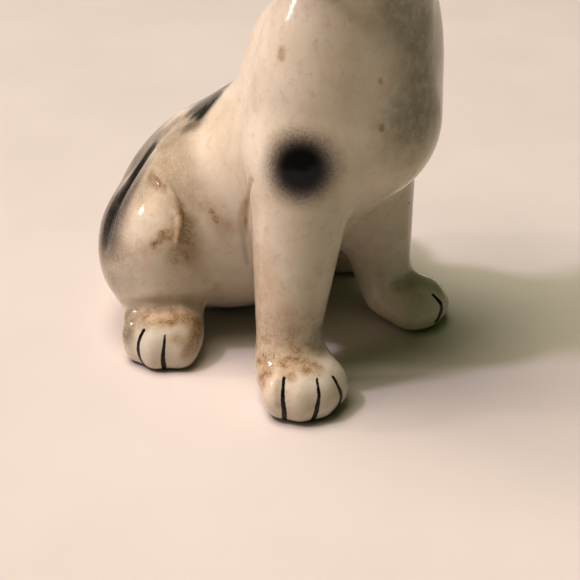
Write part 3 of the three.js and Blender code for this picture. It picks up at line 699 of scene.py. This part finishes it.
# ------------------------------------------------------------------ glaze
class Nodes:
    def __init__(self, name):
        self.m = bpy.data.materials.new(name)
        self.m.use_nodes = True
        self.t = self.m.node_tree
        self.t.nodes.clear()
    def add(self, kind, **kw):
        n = self.t.nodes.new(kind)
        for k, v in kw.items():
            setattr(n, k, v)
        return n
    def put(self, socket, v):
        if isinstance(v, (int, float)):
            socket.default_value = v
        elif isinstance(v, (tuple, list)):
            socket.default_value = (*v, 1.0) if len(socket.default_value) == 4 and len(v) == 3 else v
        else:
            self.t.links.new(v, socket)
    def math(self, op, a, b=None, c=None, clamp=False):
        n = self.add('ShaderNodeMath', operation=op, use_clamp=clamp)
        self.put(n.inputs[0], a)
        if b is not None: self.put(n.inputs[1], b)
        if c is not None: self.put(n.inputs[2], c)
        return n.outputs[0]
    def vec(self, op, a, b=None, scale=None):
        n = self.add('ShaderNodeVectorMath', operation=op)
        self.put(n.inputs[0], a)
        if b is not None: self.put(n.inputs[1], b)
        if scale is not None: self.put(n.inputs['Scale'], scale)
        return n.outputs[1] if op in ('DISTANCE', 'LENGTH', 'DOT_PRODUCT') else n.outputs[0]
    def ramp(self, x, a, b, lo=0.0, hi=1.0, smooth=True):
        n = self.add('ShaderNodeMapRange', interpolation_type='SMOOTHSTEP' if smooth else 'LINEAR')
        n.clamp = True
        for i, v in enumerate((x, a, b, lo, hi)):
            self.put(n.inputs[i], v)
        return n.outputs[0]
    def noise(self, p, scale, detail=2.0, rough=0.5, distort=0.0):
        n = self.add('ShaderNodeTexNoise', noise_dimensions='3D')
        self.put(n.inputs['Vector'], p)
        n.inputs['Scale'].default_value = scale
        n.inputs['Detail'].default_value = detail
        n.inputs['Roughness'].default_value = rough
        n.inputs['Distortion'].default_value = distort
        return n.outputs['Fac']
    def mix(self, f, a, b, kind='MIX'):
        n = self.add('ShaderNodeMix', data_type='RGBA', blend_type=kind)
        self.put(n.inputs[0], f)
        self.put(n.inputs[6], a)
        self.put(n.inputs[7], b)
        return n.outputs[2]
    def attr(self, name):
        return self.add('ShaderNodeAttribute', attribute_name=name).outputs['Fac']

def glaze(name):
    g = Nodes(name)
    coord = g.add('ShaderNodeTexCoord').outputs['Object']
    P = g.vec('SCALE', coord, scale=1000.0)                      # mm
    big = g.noise(P, 0.045, 3, 0.5)
    mid = g.noise(P, 0.16, 4, 0.55)
    fine = g.noise(P, 1.1, 3, 0.6)
    base = g.mix(g.ramp(big, 0.35, 0.68), (0.680, 0.600, 0.505), (0.725, 0.668, 0.592))
    base = g.mix(g.math('MULTIPLY', g.ramp(mid, 0.46, 0.72), 0.5), base, (0.60, 0.495, 0.385))
    base = g.mix(g.math('MULTIPLY', g.ramp(g.noise(P, 0.42, 5, 0.68, 0.4), 0.52, 0.72), 0.26), base, (0.40, 0.31, 0.21))
    # brown age stain, and painted brown shade on and under the haunch: a thin broken wash with fine specks in it
    st = g.attr('stain_and_shade')
    cloud = g.noise(P, 0.40, 5, 0.66, 0.3)
    wash = g.math('MULTIPLY', st, g.ramp(cloud, 0.30, 0.64, 0.50, 0.95))
    col = g.mix(wash, base, (0.385, 0.25, 0.13))
    fleck = g.ramp(g.math('ADD', g.math('ADD', g.math('MULTIPLY', g.noise(P, 2.0, 4, 0.72), 0.6), g.math('MULTIPLY', cloud, 0.4)),
                          g.math('MULTIPLY', st, 0.07)), 0.57, 0.66)
    col = g.mix(g.math('MULTIPLY', g.math('MULTIPLY', fleck, g.ramp(st, 0.1, 0.8)), 0.58), col, (0.155, 0.078, 0.034))
    # grey wash, and painted olive shade: the head's shadow on the chest and the shaded side of the right foreleg
    col = g.mix(g.math('MULTIPLY', g.attr('grey_wash_and_shade'), g.ramp(cloud, 0.32, 0.62, 0.62, 1.0)), col, (0.112, 0.092, 0.048))
    # airbrushed dark colour with a droplet edge, also the painted shade over the haunch top
    airbrush_and_shade_a = g.attr('airbrush_and_shade')
    edge = g.math('MULTIPLY', airbrush_and_shade_a, g.math('SUBTRACT', 1.0, airbrush_and_shade_a))
    d = g.math('ADD', airbrush_and_shade_a, g.math('MULTIPLY', g.math('SUBTRACT', g.noise(P, 1.9, 3, 0.65), 0.5), g.math('MULTIPLY', edge, 2.6)), clamp=True)
    dark = g.mix(g.ramp(airbrush_and_shade_a, 0.30, 0.90), (0.105, 0.062, 0.032), (0.012, 0.009, 0.011))
    col = g.mix(d, col, dark)
    # brushed toe lines
    wob = g.math('MULTIPLY', g.math('SUBTRACT', g.noise(P, 0.9, 2), 0.5), 0.26)
    line = g.ramp(g.math('ADD', g.attr('ink'), wob), 0.14, -0.12)
    col = g.mix(line, col, (0.016, 0.012, 0.011))
    col = g.mix(g.math('MULTIPLY', g.attr('foot'), g.ramp(g.noise(P, 0.7, 3), 0.30, 0.60, 0.65, 1.0)), col, (0.035, 0.024, 0.018))
    bs = g.add('ShaderNodeBsdfPrincipled')
    g.put(bs.inputs['Base Color'], col)
    g.put(bs.inputs['Roughness'], g.math('ADD', g.ramp(fine, 0.3, 0.8, 0.10, 0.20), g.math('MULTIPLY', g.attr('dull'), 0.42)))
    bs.inputs['Specular IOR Level'].default_value = 0.42
    bs.inputs['Coat Weight'].default_value = 0.0
    bump = g.add('ShaderNodeBump')
    bump.inputs['Strength'].default_value = 0.25
    bump.inputs['Distance'].default_value = 0.0006
    g.put(bump.inputs['Height'], g.math('ADD', g.math('MULTIPLY', mid, 0.7), g.math('MULTIPLY', g.noise(P, 0.5, 2), 0.3)))
    g.put(bs.inputs['Normal'], bump.outputs['Normal'])
    out = g.add('ShaderNodeOutputMaterial')
    g.t.links.new(bs.outputs['BSDF'], out.inputs['Surface'])
    return g.m

glaze_mat = glaze('glaze')
SLOT = {'torso': 'glaze_body', 'head': 'glaze_body', 'ear_left': 'glaze_dark', 'ear_right': 'glaze_dark', 'tail': 'glaze_dark',
        'foreleg_left': 'glaze_limb', 'foreleg_right': 'glaze_limb', 'hind_paw_left': 'glaze_limb', 'hind_paw_right': 'glaze_limb'}
attrs = {'ink': np.clip(ink, -3, 3), 'airbrush_and_shade': airbrush_and_shade, 'stain_and_shade': stain_and_shade, 'grey_wash_and_shade': grey_wash_and_shade, 'dull': dull, 'foot': foot}
for name in SLOT:
    ob = piece(name + '_glazed', T[label == name], glaze_mat, attrs)
    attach(ob, 'root')
    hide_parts(name)
print("built", round(time.time() - T0, 1), "s")

# ------------------------------------------------------------------ table, light, camera
def stage_material(name, color, rough=0.55):
    g = Nodes(name)
    coord = g.add('ShaderNodeTexCoord').outputs['Object']
    n = g.noise(g.vec('SCALE', coord, scale=1000.0), 0.02, 3, 0.5)
    col = g.mix(g.ramp(n, 0.3, 0.7), color, tuple(c * 0.965 for c in color))
    bs = g.add('ShaderNodeBsdfPrincipled')
    g.put(bs.inputs['Base Color'], col)
    bs.inputs['Roughness'].default_value = rough
    out = g.add('ShaderNodeOutputMaterial')
    g.t.links.new(bs.outputs['BSDF'], out.inputs['Surface'])
    return g.m
me = bpy.data.meshes.new('table')
S = 3.0
me.from_pydata([(-S, -S, 0), (S, -S, 0), (S, S, 0), (-S, S, 0)], [], [(0, 1, 2, 3)])
floor = bpy.data.objects.new('table', me)
bpy.context.scene.collection.objects.link(floor)
me.materials.append(stage_material('table', (0.685, 0.638, 0.622)))

def area(name, at, look, size, power, color):
    l = bpy.data.lights.new(name, 'AREA')
    l.shape = 'DISK'
    l.size = size
    l.energy = power
    l.color = color
    o = bpy.data.objects.new(name, l)
    o.location = at
    o.rotation_mode = 'QUATERNION'
    o.rotation_quaternion = (Vector(look) - Vector(at)).to_track_quat('-Z', 'Y')
    bpy.context.scene.collection.objects.link(o)
    return o
def towards(az, el, dist):
    """A point at a compass angle about Z (0 in front of the dog, negative on its right) and a height angle."""
    a, e = math.radians(az), math.radians(el)
    return (math.sin(a) * math.cos(e) * dist, -math.cos(a) * math.cos(e) * dist, math.sin(e) * dist)
key = area('key', towards(-116, 60, 5.0), (0, 0, 0.05), 0.42, 84, (0.84, 0.71, 0.95))
glint = area('glint', towards(-137, 21, 1.7), (0, 0, 0.05), 0.12, 5, (1.0, 0.88, 0.84))
glint.data.shape = 'ELLIPSE'
glint.data.size_y = 0.22
side = area('side', towards(-108, 28, 5.0), (0, 0, 0.05), 1.9, 38, (0.90, 0.66, 0.58))
over = area('overhead', (-0.84, 0.72, 4.1), (0, 0, 0), 3.1, 196, (1.0, 0.914, 0.786))
key.visible_glossy = side.visible_glossy = over.visible_glossy = False
w = bpy.data.worlds.new('world')
w.use_nodes = True
w.node_tree.nodes['Background'].inputs[0].default_value = (0.70, 1.0, 0.30, 1)
w.node_tree.nodes['Background'].inputs[1].default_value = 0.10
# the room beyond the table shows as plain pale grey
wn, wl = w.node_tree.nodes, w.node_tree.links
wall, pick = wn.new('ShaderNodeBackground'), wn.new('ShaderNodeMixShader')
wall.inputs[0].default_value = (0.50, 0.47, 0.43, 1)
wall.inputs[1].default_value = 0.8
wl.new(wn.new('ShaderNodeLightPath').outputs['Is Camera Ray'], pick.inputs[0])
wl.new(wn['Background'].outputs[0], pick.inputs[1])
wl.new(wall.outputs[0], pick.inputs[2])
wl.new(pick.outputs[0], wn['World Output'].inputs[0])
bpy.context.scene.world = w
bpy.context.scene.view_settings.view_transform = 'Standard'
bpy.context.scene.view_settings.gamma = 0.74

cam = bpy.data.cameras.new('camera')
cam.lens = 36 * 1300 / 580
cam.sensor_width = 36
cam.clip_start = 0.01
cam.clip_end = 20
co = bpy.data.objects.new('camera', cam)
co.location = (-0.210977, -0.208588, 0.180715)
co.rotation_mode = 'QUATERNION'
co.rotation_quaternion = Vector((0.612372, 0.612372, -0.5)).to_track_quat('-Z', 'Y')
bpy.context.scene.collection.objects.link(co)
bpy.context.scene.camera = co
